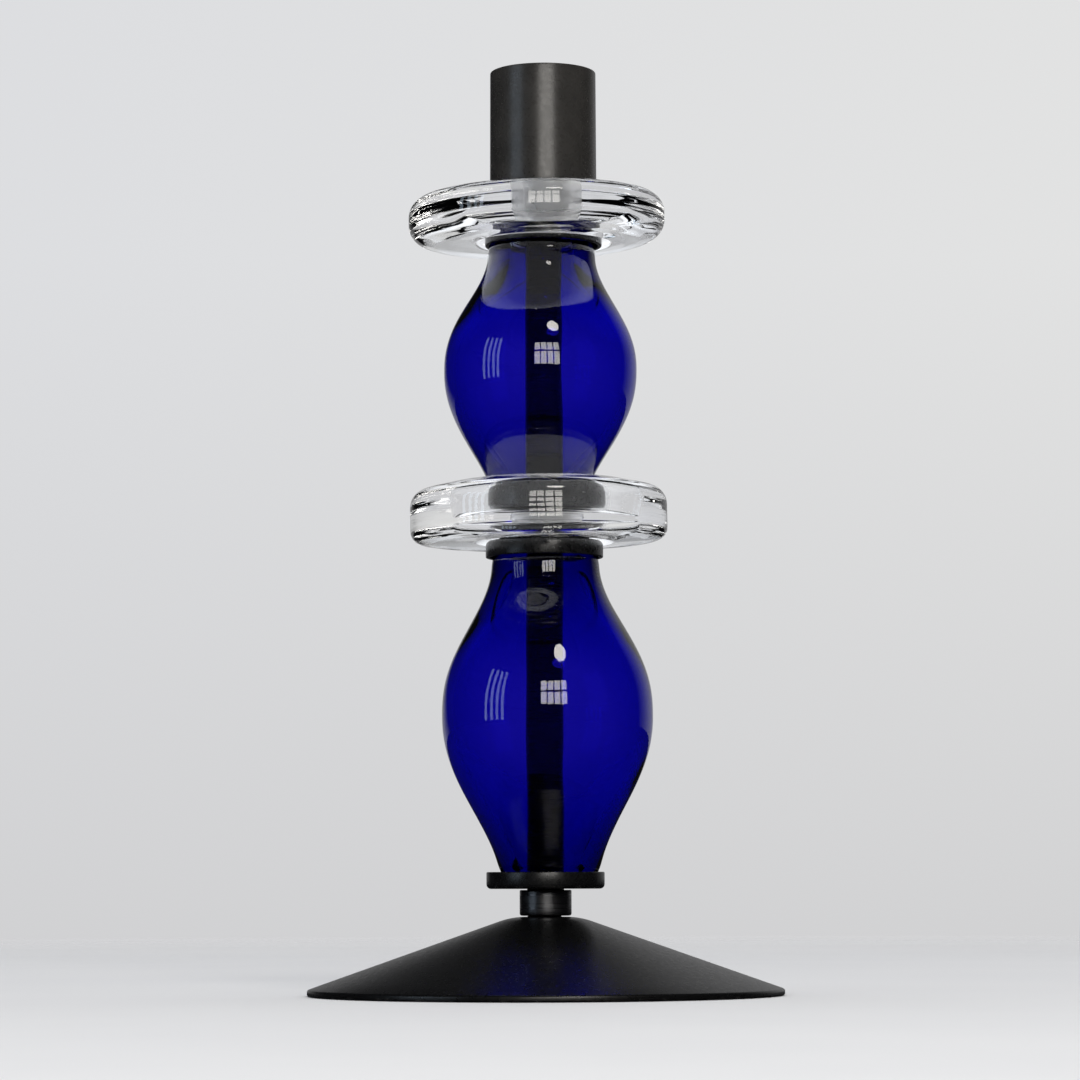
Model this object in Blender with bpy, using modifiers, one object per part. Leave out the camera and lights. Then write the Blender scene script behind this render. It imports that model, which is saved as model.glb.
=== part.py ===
"""Glass candlestick: blown cobalt bulbs and clear cast discs threaded on one steel rod.

The rod is bolted under a conical sheet-steel foot and passes up through a sleeve, the glass and
the round caps that hold it. The candle cup screws onto the rod's top end and clamps the stack.
Sizes are in millimetres up to the helpers, which turn them into Blender's metres. +Z is up, and
the origin is on the rod's axis, on the surface that the foot stands on.
"""

import math

import bmesh
import bpy
from mathutils import Matrix, Vector

MM = 0.001
TURN = 2 * math.pi

# Gap left between pieces that touch, and the facets round each sort of turned piece.
GAP = 0.3
FOOT_FACETS = 48
GLASS_FACETS = 32
METAL_FACETS = 32
SMALL_FACETS = 24

# How far a cutting shape stands clear beside a piece, and how little it passes a face it keeps.
CUT_CLEAR = 1.0
CUT_PAST = 0.001

# Rod: an M10 stud, drawn plain a little under its thread's outside.
ROD_RADIUS = 4.85
ROD_BOTTOM = 5.0
ROD_TOP = 217.2
ROD_HOLE_RADIUS = 5.2
ROD_CHAMFER = 0.8

# Foot: a spun cone of sheet steel with a flat top and a thickened lip to stand on.
FOOT_RADIUS = 62.4
FOOT_HEIGHT = 20.3
FOOT_SLOPE = 0.352
FOOT_SHEET = 1.5
FOOT_SHOULDER = 20.0
LIP_HEIGHT = 1.45
LIP_WIDTH = 2.2
LIP_BEND = 0.8
LIP_EDGE = 0.3

# Fastening under the foot: plain washer, spring washer and nut.
WASHER_RADIUS = 8.0
WASHER_THICKNESS = 1.6
WASHER_EDGE = 0.2
SPRING_WASHER_RADIUS = 7.8
SPRING_WASHER_THICKNESS = 2.0
SPRING_WASHER_SLIT = 1.2
SPRING_WASHER_SLANT = 25.0
NUT_ACROSS_FLATS = 14.0
NUT_HEIGHT = 6.5
NUT_CHAMFER_ANGLE = 30.0
NUT_FACE_INSET = 0.1

# Sleeve between the foot and the lowest cap.
SLEEVE_RADIUS = 6.8
SLEEVE_TOP = 27.3
SLEEVE_TOP_EDGE = 0.3
SLEEVE_FOOT_EDGE = 0.6

# Caps: shallow round cups that hold the ends of the bulbs, and the rubber rings inside them.
CAP_RADIUS = 15.5
CAP_HEIGHT = 4.4
CAP_FLOOR = 1.5
CAP_RIM = 0.9
CAP_BEND = 1.2
GASKET_INNER = 8.0
GASKET_OUTER = 13.8
GASKET_THICKNESS = 1.0

# Rubber pads between the discs and the metal on each side of them.
PAD_INNER = 5.3
PAD_OUTER = 12.0
PAD_THICKNESS = 0.6

# Bulbs: belly height above the foot, belly radius and the two neck radii. A reach is the
# height from the belly to where the neck would begin, and a power is how full the belly is.
BULB_END_ROUND = 0.5
BULB_WALL_AT_BELLY = 3.0
BULB_WALL_AT_NECK = 4.6
BULB_STEPS = 6
LARGE_BULB = {
    "belly": 73.0,
    "radius": 27.7,
    "upper_neck": 14.2,
    "upper_reach": 40.0,
    "upper_power": 1.2,
    "lower_neck": 12.8,
    "lower_reach": 45.0,
    "lower_power": 1.1,
    "bottom": 30.7,
    "top": 115.9,
}
SMALL_BULB = {
    "belly": 164.5,
    "radius": 25.5,
    "upper_neck": 14.2,
    "upper_reach": 31.0,
    "upper_power": 1.15,
    "lower_neck": 11.6,
    "lower_reach": 38.0,
    "lower_power": 1.15,
    "bottom": 129.1,
    "top": 198.9,
}

# Discs: thick clear glass with a wide drilled hole, dished to take the caps on each side. Each
# is given by the corners of its cross-section, as (radius, height above its underside, fillet),
# from the top edge of the hole outwards, round the rim and back to the hole.
DISC_RADIUS = 34.0
DISC_HOLE_RADIUS = 6.15
DISC_HOLE_EDGE = 0.4
LOWER_DISC_BOTTOM = 118.6
UPPER_DISC_BOTTOM = 198.3

# Heights of the flat rings that the stack bears on, seen from the pieces below and above.
LARGE_UPPER_CAP_TOP = 119.0
LOWER_DISC_UNDERSIDE = 120.2
LOWER_DISC_TOP_SEAT = 124.8
SMALL_UPPER_CAP_TOP = 202.0
UPPER_DISC_UNDERSIDE = 203.2
UPPER_DISC_TOP_SEAT = 209.9

LOWER_DISC_SECTION = [
    (DISC_HOLE_RADIUS, LOWER_DISC_TOP_SEAT - LOWER_DISC_BOTTOM, DISC_HOLE_EDGE),
    (16.2, LOWER_DISC_TOP_SEAT - LOWER_DISC_BOTTOM, 0.8),
    (17.4, 16.0, 1.5),
    (22.5, 16.1, 4.0),
    (DISC_RADIUS, 13.6, 5.0),
    (DISC_RADIUS, 0.6, 3.2),
    (28.0, 0.0, 0.0),
    (18.5, 0.0, 0.8),
    (16.6, LOWER_DISC_UNDERSIDE - LOWER_DISC_BOTTOM, 0.8),
    (DISC_HOLE_RADIUS, LOWER_DISC_UNDERSIDE - LOWER_DISC_BOTTOM, DISC_HOLE_EDGE),
]
UPPER_DISC_SECTION = [
    (DISC_HOLE_RADIUS, UPPER_DISC_TOP_SEAT - UPPER_DISC_BOTTOM, DISC_HOLE_EDGE),
    (15.2, UPPER_DISC_TOP_SEAT - UPPER_DISC_BOTTOM, 1.2),
    (20.0, 13.3, 5.0),
    (DISC_RADIUS, 12.2, 5.0),
    (DISC_RADIUS, 1.6, 5.0),
    (27.0, 0.0, 6.0),
    (17.8, 0.0, 0.8),
    (16.9, UPPER_DISC_UNDERSIDE - UPPER_DISC_BOTTOM, 1.0),
    (DISC_HOLE_RADIUS, UPPER_DISC_UNDERSIDE - UPPER_DISC_BOTTOM, DISC_HOLE_EDGE),
]

# Candle cup: a turned steel tube with a thick floor, tapped for the rod.
CUP_BOTTOM = 211.1
CUP_TOP = 244.4
CUP_TOP_RADIUS = 14.05
CUP_FOOT_RADIUS = 14.3
CUP_FLARE_HEIGHT = 3.0
CUP_FLARE = 0.1
CUP_BORE_RADIUS = 11.5
CUP_FLOOR = 7.5
CUP_FLOOR_BEND = 1.2
CUP_INNER_EDGE = 0.4
CUP_OUTER_EDGE = 0.3

FINISHES = {
    "satin_black": {"colour": (0.018, 0.018, 0.02), "roughness": 0.42, "metallic": 0.3},
    "gunmetal": {"colour": (0.13, 0.13, 0.135), "roughness": 0.3, "metallic": 1.0},
    "zinc": {"colour": (0.55, 0.56, 0.58), "roughness": 0.35, "metallic": 1.0},
    "cobalt_glass": {"colour": (0.02, 0.015, 0.55), "roughness": 0.02, "transmission": 1.0},
    "clear_glass": {"colour": (0.95, 0.96, 1.0), "roughness": 0.02, "transmission": 1.0},
    "black_rubber": {"colour": (0.02, 0.02, 0.02), "roughness": 0.75},
}


# ---------------------------------------------------------------- scene, materials, helpers


def clear_scene():
    for obj in list(bpy.data.objects):
        bpy.data.objects.remove(obj, do_unlink=True)


def new_collection(name):
    collection = bpy.data.collections.new(name)
    bpy.context.scene.collection.children.link(collection)
    return collection


def material_for(part_name, finish_name):
    """A Principled material of the part's own, in one of the object's finishes."""
    finish = FINISHES[finish_name]
    material = bpy.data.materials.new(f"{part_name}_{finish_name}")
    material.use_nodes = True
    shader = material.node_tree.nodes["Principled BSDF"]
    shader.inputs["Base Color"].default_value = (*finish["colour"], 1.0)
    shader.inputs["Roughness"].default_value = finish["roughness"]
    shader.inputs["Metallic"].default_value = finish.get("metallic", 0.0)
    shader.inputs["Transmission Weight"].default_value = finish.get("transmission", 0.0)
    return material


def add_object(name, mesh, collection, height=0.0):
    """An object standing on the rod's axis, its own origin at the given height."""
    obj = bpy.data.objects.new(name, mesh)
    obj.location = (0.0, 0.0, height * MM)
    collection.objects.link(obj)
    return obj


def rounded_outline(corners, arc_steps=2):
    """Points round an outline whose corners (radius, height, fillet) are rounded by arcs."""
    points = []
    for index, (radius, height, fillet) in enumerate(corners):
        corner = Vector((radius, height))
        if fillet == 0:
            points.append(corner)
            continue
        back = (Vector(corners[index - 1][:2]) - corner).normalized()
        ahead = (Vector(corners[(index + 1) % len(corners)][:2]) - corner).normalized()
        half = back.angle(ahead) / 2
        centre = corner + (back + ahead).normalized() * (fillet / math.sin(half))
        spoke = corner + back * (fillet / math.tan(half)) - centre
        sweep = math.copysign(math.pi - 2 * half, ahead.cross(back))
        for step in range(arc_steps + 1):
            points.append(centre + Matrix.Rotation(sweep * step / arc_steps, 2) @ spoke)
    return points


def turned_mesh(name, outline, facets, closed=True):
    """Turns an outline of (radius, height) points about Z with a Screw modifier.

    The outline runs down the piece's outer side. A closed one comes back up its bore, and an
    open one starts and ends on the axis.
    """
    count = len(outline)
    edges = [(i, (i + 1) % count) for i in range(count if closed else count - 1)]
    wire = bpy.data.meshes.new(f"{name}_outline")
    wire.from_pydata([(r * MM, 0.0, z * MM) for r, z in outline], edges, [])
    spinner = bpy.data.objects.new(f"{name}_outline", wire)
    bpy.context.scene.collection.objects.link(spinner)
    screw = spinner.modifiers.new("turn", "SCREW")
    screw.angle = TURN
    screw.steps = facets
    screw.render_steps = facets
    screw.use_merge_vertices = True
    screw.merge_threshold = 0.00001
    graph = bpy.context.evaluated_depsgraph_get()
    mesh = bpy.data.meshes.new_from_object(spinner.evaluated_get(graph))
    mesh.name = name
    bpy.data.objects.remove(spinner, do_unlink=True)
    bpy.data.meshes.remove(wire)
    shade_round(mesh)
    return mesh


def shade_round(mesh):
    mesh.shade_smooth()
    mesh.set_sharp_from_angle(angle=math.radians(35))


def ring_mesh(name, inner, outer, thickness, facets, edge=0.0):
    """A flat ring standing on height zero, its four edges rounded by the radius given."""
    corners = [
        (inner, thickness, edge),
        (outer, thickness, edge),
        (outer, 0.0, edge),
        (inner, 0.0, edge),
    ]
    return turned_mesh(name, rounded_outline(corners, arc_steps=1), facets)


def cut(obj, cutter, operation="DIFFERENCE"):
    boolean = obj.modifiers.new(cutter.name, "BOOLEAN")
    boolean.operation = operation
    boolean.object = cutter
    cutter.hide_render = True
    cutter.display_type = "WIRE"


# ---------------------------------------------------------------- foot and its fastening


def make_foot(parts):
    """The spun cone: flat top, straight flank, and a lip turned down to a flat standing ring."""
    flank_top_radius = FOOT_RADIUS - (FOOT_HEIGHT - LIP_HEIGHT) / FOOT_SLOPE
    drop = FOOT_SHEET * math.hypot(1.0, FOOT_SLOPE)
    inner_top_radius = flank_top_radius + (FOOT_SHEET - drop) / FOOT_SLOPE
    inner_lip_radius = FOOT_RADIUS - LIP_WIDTH
    inner_lip_height = LIP_HEIGHT + LIP_WIDTH * FOOT_SLOPE - drop
    corners = [
        (ROD_HOLE_RADIUS, FOOT_HEIGHT, 0.0),
        (flank_top_radius, FOOT_HEIGHT, FOOT_SHOULDER),
        (FOOT_RADIUS, LIP_HEIGHT, LIP_BEND),
        (FOOT_RADIUS, 0.0, LIP_EDGE),
        (inner_lip_radius, 0.0, 0.0),
        (inner_lip_radius, inner_lip_height, 0.0),
        (inner_top_radius, FOOT_HEIGHT - FOOT_SHEET, FOOT_SHOULDER - FOOT_SHEET),
        (ROD_HOLE_RADIUS, FOOT_HEIGHT - FOOT_SHEET, 0.0),
    ]
    mesh = turned_mesh("conical_foot", rounded_outline(corners), FOOT_FACETS)
    foot = add_object("conical_foot", mesh, parts)
    foot.data.materials.append(material_for(foot.name, "satin_black"))
    return foot


def make_washer(parts, top):
    size = (ROD_HOLE_RADIUS, WASHER_RADIUS, WASHER_THICKNESS)
    mesh = ring_mesh("foot_washer", *size, SMALL_FACETS, WASHER_EDGE)
    washer = add_object("foot_washer", mesh, parts, top - WASHER_THICKNESS)
    washer.data.materials.append(material_for(washer.name, "zinc"))
    return washer


def make_spring_washer(parts, cutters, top):
    """A ring slit through at a slant, as a spring washer is when it is pressed flat."""
    thickness = SPRING_WASHER_THICKNESS
    mesh = ring_mesh(
        "foot_spring_washer", ROD_HOLE_RADIUS, SPRING_WASHER_RADIUS, thickness, SMALL_FACETS
    )
    washer = add_object("foot_spring_washer", mesh, parts, top - thickness)
    washer.data.materials.append(material_for(washer.name, "zinc"))
    slit = bpy.data.meshes.new("spring_washer_slit")
    block = bmesh.new()
    size = Matrix.Diagonal((SPRING_WASHER_RADIUS * MM, SPRING_WASHER_SLIT * MM, 4 * thickness * MM, 1.0))
    bmesh.ops.create_cube(block, size=1.0, matrix=size)
    block.to_mesh(slit)
    block.free()
    cutter = add_object("spring_washer_slit", slit, cutters, top - thickness / 2)
    cutter.location.x = SPRING_WASHER_RADIUS * MM
    cutter.rotation_euler.x = math.radians(SPRING_WASHER_SLANT)
    cut(washer, cutter)
    return washer


def make_nut(parts, cutters, top):
    """A hexagon with its corners turned down, and a plain bore for the rod.

    The turned ring that does both is a little larger than the hexagon everywhere that it doesn't
    cut, so that no two faces lie in one plane.
    """
    corner_radius = NUT_ACROSS_FLATS / 2 / math.cos(math.pi / 6)
    mesh = bpy.data.meshes.new("foot_nut")
    hexagon = bmesh.new()
    bmesh.ops.create_cone(
        hexagon,
        cap_ends=True,
        segments=6,
        radius1=corner_radius * MM,
        radius2=corner_radius * MM,
        depth=NUT_HEIGHT * MM,
    )
    hexagon.to_mesh(mesh)
    hexagon.free()
    nut = add_object("foot_nut", mesh, parts, top - NUT_HEIGHT / 2)
    nut.data.materials.append(material_for(nut.name, "zinc"))
    half = NUT_HEIGHT / 2
    face_radius = NUT_ACROSS_FLATS / 2 - NUT_FACE_INSET
    rim = corner_radius + CUT_CLEAR
    rim_height = half - (rim - face_radius) * math.tan(math.radians(NUT_CHAMFER_ANGLE))
    reach = half + CUT_PAST
    lens = [
        (ROD_HOLE_RADIUS, reach),
        (face_radius, reach),
        (rim, rim_height),
        (rim, -rim_height),
        (face_radius, -reach),
        (ROD_HOLE_RADIUS, -reach),
    ]
    lens_mesh = turned_mesh("nut_turning", lens, SMALL_FACETS)
    cutter = add_object("nut_turning", lens_mesh, cutters, top - half)
    cut(nut, cutter, "INTERSECT")
    return nut


def make_rod(parts):
    outline = [
        (0.0, ROD_TOP),
        (ROD_RADIUS - ROD_CHAMFER, ROD_TOP),
        (ROD_RADIUS, ROD_TOP - ROD_CHAMFER),
        (ROD_RADIUS, ROD_BOTTOM + ROD_CHAMFER),
        (ROD_RADIUS - ROD_CHAMFER, ROD_BOTTOM),
        (0.0, ROD_BOTTOM),
    ]
    rod = add_object("tie_rod", turned_mesh("tie_rod", outline, SMALL_FACETS, closed=False), parts)
    rod.data.materials.append(material_for(rod.name, "gunmetal"))
    return rod


def make_sleeve(parts):
    """The short spacer that lifts the lowest cap clear of the foot."""
    bottom = FOOT_HEIGHT + GAP
    height = SLEEVE_TOP - bottom
    corners = [
        (ROD_HOLE_RADIUS, height, 0.0),
        (SLEEVE_RADIUS, height, SLEEVE_TOP_EDGE),
        (SLEEVE_RADIUS, 0.0, SLEEVE_FOOT_EDGE),
        (ROD_HOLE_RADIUS, 0.0, 0.0),
    ]
    mesh = turned_mesh("stem_sleeve", rounded_outline(corners), SMALL_FACETS)
    sleeve = add_object("stem_sleeve", mesh, parts, bottom)
    sleeve.data.materials.append(material_for(sleeve.name, "gunmetal"))
    return sleeve


# ---------------------------------------------------------------- caps, gaskets and pads


def cap_mesh():
    """A round cup with its floor on height zero and its rim up."""
    well = CAP_RADIUS - CAP_RIM
    corners = [
        (well, CAP_HEIGHT, 0.0),
        (CAP_RADIUS, CAP_HEIGHT, 0.0),
        (CAP_RADIUS, 0.0, CAP_BEND),
        (ROD_HOLE_RADIUS, 0.0, 0.0),
        (ROD_HOLE_RADIUS, CAP_FLOOR, 0.0),
        (well, CAP_FLOOR, 0.0),
    ]
    return turned_mesh("cap", rounded_outline(corners), METAL_FACETS)


def place_cap(parts, name, mesh, height, rim_up=True):
    """Sets a cap with the outside of its floor at the height given."""
    cap = add_object(name, mesh.copy(), parts, height)
    cap.rotation_euler.x = 0.0 if rim_up else math.pi
    cap.data.materials.append(material_for(name, "satin_black"))
    return cap


def place_ring(parts, name, mesh, height):
    ring = add_object(name, mesh.copy(), parts, height)
    ring.data.materials.append(material_for(name, "black_rubber"))
    return ring


def make_caps_and_gaskets(parts):
    """The four caps with a rubber ring in each, between its floor and the end of the bulb."""
    cap = cap_mesh()
    gasket = ring_mesh("gasket", GASKET_INNER, GASKET_OUTER, GASKET_THICKNESS, SMALL_FACETS)
    bottoms = {
        "large_bulb": SLEEVE_TOP + GAP,
        "small_bulb": LOWER_DISC_TOP_SEAT + PAD_THICKNESS + 2 * GAP,
    }
    tops = {"large_bulb": LARGE_UPPER_CAP_TOP, "small_bulb": SMALL_UPPER_CAP_TOP}
    for bulb, floor in bottoms.items():
        place_cap(parts, f"{bulb}_lower_cap", cap, floor)
        place_ring(parts, f"{bulb}_lower_gasket", gasket, floor + CAP_FLOOR + GAP)
    for bulb, floor in tops.items():
        place_cap(parts, f"{bulb}_upper_cap", cap, floor, rim_up=False)
        hung = floor - CAP_FLOOR - GAP - GASKET_THICKNESS
        place_ring(parts, f"{bulb}_upper_gasket", gasket, hung)


def make_pads(parts):
    """Thin rubber rings that keep the discs off the metal, and the cup's slip washer."""
    pad = ring_mesh("pad", PAD_INNER, PAD_OUTER, PAD_THICKNESS, SMALL_FACETS)
    place_ring(parts, "lower_disc_lower_pad", pad, LARGE_UPPER_CAP_TOP + GAP)
    place_ring(parts, "lower_disc_upper_pad", pad, LOWER_DISC_TOP_SEAT + GAP)
    place_ring(parts, "upper_disc_lower_pad", pad, SMALL_UPPER_CAP_TOP + GAP)
    place_ring(parts, "cup_slip_washer", pad, UPPER_DISC_TOP_SEAT + GAP)


# ---------------------------------------------------------------- glass


def swell(bulb, height):
    """How far a bulb has swelled at a height: 0 at its necks, 1 at its belly."""
    side = "upper" if height > bulb["belly"] else "lower"
    share = min(abs(height - bulb["belly"]) / bulb[f"{side}_reach"], 1.0)
    return (1 + math.cos(math.pi * share ** bulb[f"{side}_power"])) / 2


def bulb_radius(bulb, height):
    neck = bulb["upper_neck"] if height > bulb["belly"] else bulb["lower_neck"]
    return neck + (bulb["radius"] - neck) * swell(bulb, height)


def bulb_bore(bulb, height):
    """Radius of the hollow: the wall is thin at the belly and thick at the necks."""
    thinning = (BULB_WALL_AT_NECK - BULB_WALL_AT_BELLY) * swell(bulb, height)
    return bulb_radius(bulb, height) - BULB_WALL_AT_NECK + thinning


def make_bulb(parts, name, bulb):
    """A blown bulb, open at both ends, sampled at even steps above and below its belly."""
    bottom = bulb["bottom"]
    height = bulb["top"] - bottom
    belly = bulb["belly"] - bottom
    shares = [step / BULB_STEPS for step in range(BULB_STEPS)]
    levels = [height + (belly - height) * share for share in shares]
    levels += [belly * (1 - share) for share in shares] + [0.0]
    outer = [(bulb_radius(bulb, bottom + z), z) for z in levels]
    inner = [(bulb_bore(bulb, bottom + z), z) for z in reversed(levels)]
    ease = BULB_END_ROUND
    outer[0:1] = [(outer[0][0] - ease, height), (outer[0][0], height - ease)]
    outer[-1:] = [(outer[-1][0], ease), (outer[-1][0] - ease, 0.0)]
    glass = add_object(name, turned_mesh(name, outer + inner, GLASS_FACETS), parts, bottom)
    glass.data.materials.append(material_for(name, "cobalt_glass"))
    return glass


def make_disc(parts, name, section, bottom):
    disc = add_object(name, turned_mesh(name, rounded_outline(section), GLASS_FACETS), parts, bottom)
    disc.data.materials.append(material_for(name, "clear_glass"))
    return disc


# ---------------------------------------------------------------- candle cup


def make_cup(parts):
    height = CUP_TOP - CUP_BOTTOM
    corners = [
        (CUP_BORE_RADIUS, height, CUP_INNER_EDGE),
        (CUP_TOP_RADIUS, height, CUP_OUTER_EDGE),
        (CUP_FOOT_RADIUS - CUP_FLARE, CUP_FLARE_HEIGHT, 0.0),
        (CUP_FOOT_RADIUS, 0.0, CUP_OUTER_EDGE),
        (ROD_HOLE_RADIUS, 0.0, 0.0),
        (ROD_HOLE_RADIUS, CUP_FLOOR, 0.0),
        (CUP_BORE_RADIUS, CUP_FLOOR, CUP_FLOOR_BEND),
    ]
    mesh = turned_mesh("candle_cup", rounded_outline(corners), METAL_FACETS)
    cup = add_object("candle_cup", mesh, parts, CUP_BOTTOM)
    cup.data.materials.append(material_for(cup.name, "satin_black"))
    return cup


def main():
    clear_scene()
    parts = new_collection("glass_candlestick")
    cutters = new_collection("cutters")
    make_foot(parts)
    washer_top = FOOT_HEIGHT - FOOT_SHEET - GAP
    spring_top = washer_top - WASHER_THICKNESS - GAP
    nut_top = spring_top - SPRING_WASHER_THICKNESS - GAP
    make_washer(parts, washer_top)
    make_spring_washer(parts, cutters, spring_top)
    make_nut(parts, cutters, nut_top)
    make_rod(parts)
    make_sleeve(parts)
    make_caps_and_gaskets(parts)
    make_pads(parts)
    make_bulb(parts, "large_glass_bulb", LARGE_BULB)
    make_bulb(parts, "small_glass_bulb", SMALL_BULB)
    make_disc(parts, "lower_glass_disc", LOWER_DISC_SECTION, LOWER_DISC_BOTTOM)
    make_disc(parts, "upper_glass_disc", UPPER_DISC_SECTION, UPPER_DISC_BOTTOM)
    make_cup(parts)


main()
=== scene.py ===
# %% [markdown]
# # A glass candlestick
# This candlestick is a stack threaded on one steel rod. From the bottom up it has a black conical
# foot, a short sleeve, a blown cobalt bulb, a thick clear disc, a smaller bulb, a second disc and
# a black candle cup, which screws on top and clamps everything below it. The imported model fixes
# where each piece sits and how it moves, so every piece here starts from its own box in that model.

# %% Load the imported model
import math

import bpy
from mathutils import Matrix, Vector


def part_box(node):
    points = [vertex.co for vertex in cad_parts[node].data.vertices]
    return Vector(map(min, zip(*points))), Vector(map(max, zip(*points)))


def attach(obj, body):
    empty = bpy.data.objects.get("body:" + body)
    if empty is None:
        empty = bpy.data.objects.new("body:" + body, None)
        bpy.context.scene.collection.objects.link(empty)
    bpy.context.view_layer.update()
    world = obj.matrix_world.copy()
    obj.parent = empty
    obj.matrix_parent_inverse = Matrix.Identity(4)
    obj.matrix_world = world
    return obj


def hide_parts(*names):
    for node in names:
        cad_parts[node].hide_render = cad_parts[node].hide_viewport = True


MM = 0.001
TURN = 2 * math.pi
MERGE_GAP = 0.002 * MM
SHARP_ANGLE = math.radians(35)

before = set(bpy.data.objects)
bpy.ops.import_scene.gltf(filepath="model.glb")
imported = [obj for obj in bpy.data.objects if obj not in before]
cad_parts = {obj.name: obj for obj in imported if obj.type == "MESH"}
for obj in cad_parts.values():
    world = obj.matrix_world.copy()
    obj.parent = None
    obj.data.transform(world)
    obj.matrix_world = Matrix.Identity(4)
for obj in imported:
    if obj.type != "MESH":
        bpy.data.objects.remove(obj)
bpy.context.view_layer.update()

# %% [markdown]
# ## Working on one piece at a time
# Blender's operators act on whatever is selected, and the loaded model starts out selected. These
# helpers pick one piece, open it for editing and close it again, so that nothing else is touched.

# %% Pick and open a piece
def hold(piece):
    """Selects one piece alone and makes it the active one."""
    bpy.ops.object.select_all(action="DESELECT")
    piece.select_set(True)
    bpy.context.view_layer.objects.active = piece


def open_piece(piece):
    """Opens a piece in edit mode with all of it selected."""
    hold(piece)
    bpy.ops.object.mode_set(mode="EDIT")
    bpy.ops.mesh.select_all(action="SELECT")


def close_piece():
    bpy.ops.object.mode_set(mode="OBJECT")


def heights_of(node):
    """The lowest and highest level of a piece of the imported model, in millimetres."""
    low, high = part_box(node)
    return low.z / MM, high.z / MM


bpy.ops.object.select_all(action="DESELECT")
print("foot stands from", heights_of("conical_foot"), "mm")

# %% [markdown]
# ## Drawing an outline and turning it
# Nearly every piece is round about the rod, as it was spun, blown or turned on a lathe. So each
# one is drawn as half of its cross-section and spun round the upright axis. The outline is drawn
# as by hand: one point, then an extrude for every stop along the way. Its corners are given as
# (radius, height, fillet) and rounded first, and long stretches are split so that the surface has
# enough points to carry small unevenness later.

# %% Outlines
def rounded(corners, arc_steps):
    """The stops along an outline whose corners (radius, height, fillet) are rounded by arcs."""
    stops = []
    for index, (radius, height, fillet) in enumerate(corners):
        corner = Vector((radius, height))
        if fillet == 0:
            stops.append(corner)
            continue
        back = (Vector(corners[index - 1][:2]) - corner).normalized()
        ahead = (Vector(corners[(index + 1) % len(corners)][:2]) - corner).normalized()
        half = back.angle(ahead) / 2
        centre = corner + (back + ahead).normalized() * (fillet / math.sin(half))
        spoke = corner + back * (fillet / math.tan(half)) - centre
        sweep = math.copysign(math.pi - 2 * half, ahead.cross(back))
        for step in range(arc_steps + 1):
            stops.append(centre + Matrix.Rotation(sweep * step / arc_steps, 2) @ spoke)
    return stops


def split(stops, longest):
    """The same closed outline with no stretch longer than the length given."""
    even = []
    for index, stop in enumerate(stops):
        ahead = stops[(index + 1) % len(stops)]
        parts = max(1, math.ceil((ahead - stop).length / longest))
        even += [stop.lerp(ahead, part / parts) for part in range(parts)]
    return even


def draw_outline(name, stops, closed=True):
    """Draws stops (radius, height), in millimetres, as a chain of edges beside the axis."""
    bpy.ops.object.select_all(action="DESELECT")
    start = (stops[0][0] * MM, 0.0, stops[0][1] * MM)
    bpy.ops.mesh.primitive_plane_add(size=MM, location=start)
    piece = bpy.context.object
    piece.name = name
    piece.data.name = name
    bpy.ops.object.transform_apply(location=True, rotation=True, scale=True)
    open_piece(piece)
    bpy.ops.mesh.merge(type="CENTER")
    route = list(stops) + ([stops[0]] if closed else [])
    for here, there in zip(route, route[1:]):
        step = ((there[0] - here[0]) * MM, 0.0, (there[1] - here[1]) * MM)
        bpy.ops.mesh.extrude_region_move(TRANSFORM_OT_translate={"value": step})
    bpy.ops.mesh.select_all(action="SELECT")
    bpy.ops.mesh.remove_doubles(threshold=MERGE_GAP)
    close_piece()
    return piece


# %% [markdown]
# Spinning leaves a seam where the last step meets the first, and a fan of copies wherever the
# outline touches the axis. Merging by distance closes both, and only then are the faces turned to
# point outwards.

# %% Turn an outline
def turn(piece, steps, angle=TURN):
    """Spins the drawn outline round the rod's axis and closes its seam and poles."""
    open_piece(piece)
    bpy.ops.mesh.spin(steps=steps, angle=angle, center=(0, 0, 0), axis=(0, 0, 1))
    bpy.ops.mesh.select_all(action="SELECT")
    bpy.ops.mesh.remove_doubles(threshold=MERGE_GAP)
    bpy.ops.mesh.normals_make_consistent(inside=False)
    close_piece()
    return piece


def cap_ends(piece):
    """Fills the open ends of a coil and turns its faces to point outwards."""
    open_piece(piece)
    bpy.ops.mesh.remove_doubles(threshold=MERGE_GAP)
    bpy.ops.mesh.select_all(action="DESELECT")
    bpy.ops.mesh.select_non_manifold()
    bpy.ops.mesh.fill_holes(sides=0)
    bpy.ops.mesh.select_all(action="SELECT")
    bpy.ops.mesh.normals_make_consistent(inside=False)
    close_piece()


def open_edges(piece):
    """How many edges don't have exactly two faces: none, on a closed piece."""
    faces_on = {}
    for face in piece.data.polygons:
        for edge in face.edge_keys:
            faces_on[edge] = faces_on.get(edge, 0) + 1
    return sum(count != 2 for count in faces_on.values())


def apply_modifiers(piece):
    hold(piece)
    for modifier in list(piece.modifiers):
        bpy.ops.object.modifier_apply(modifier=modifier.name)


# %% [markdown]
# ## Finishing a piece
# A finished piece has its place in its mesh and its object at the origin. It takes its finish,
# rides on the body that carries it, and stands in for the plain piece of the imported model.

# %% Hand a piece over
def place_piece(piece, body, node, slot, *finishes):
    """Bakes the piece's place, shades it, gives it its finishes and puts it on its body."""
    hold(piece)
    bpy.ops.object.transform_apply(location=True, rotation=True, scale=True)
    bpy.ops.object.shade_smooth_by_angle(angle=SHARP_ANGLE)
    kept = [face.material_index for face in piece.data.polygons]
    piece.data.materials.clear()
    for finish in finishes:
        piece.data.materials.append(finish)
    piece.data.polygons.foreach_set("material_index", kept)
    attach(piece, body)
    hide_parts(node)
    print(f"{piece.name}: {len(piece.data.polygons)} faces, {open_edges(piece)} open edges")
    return piece


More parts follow.
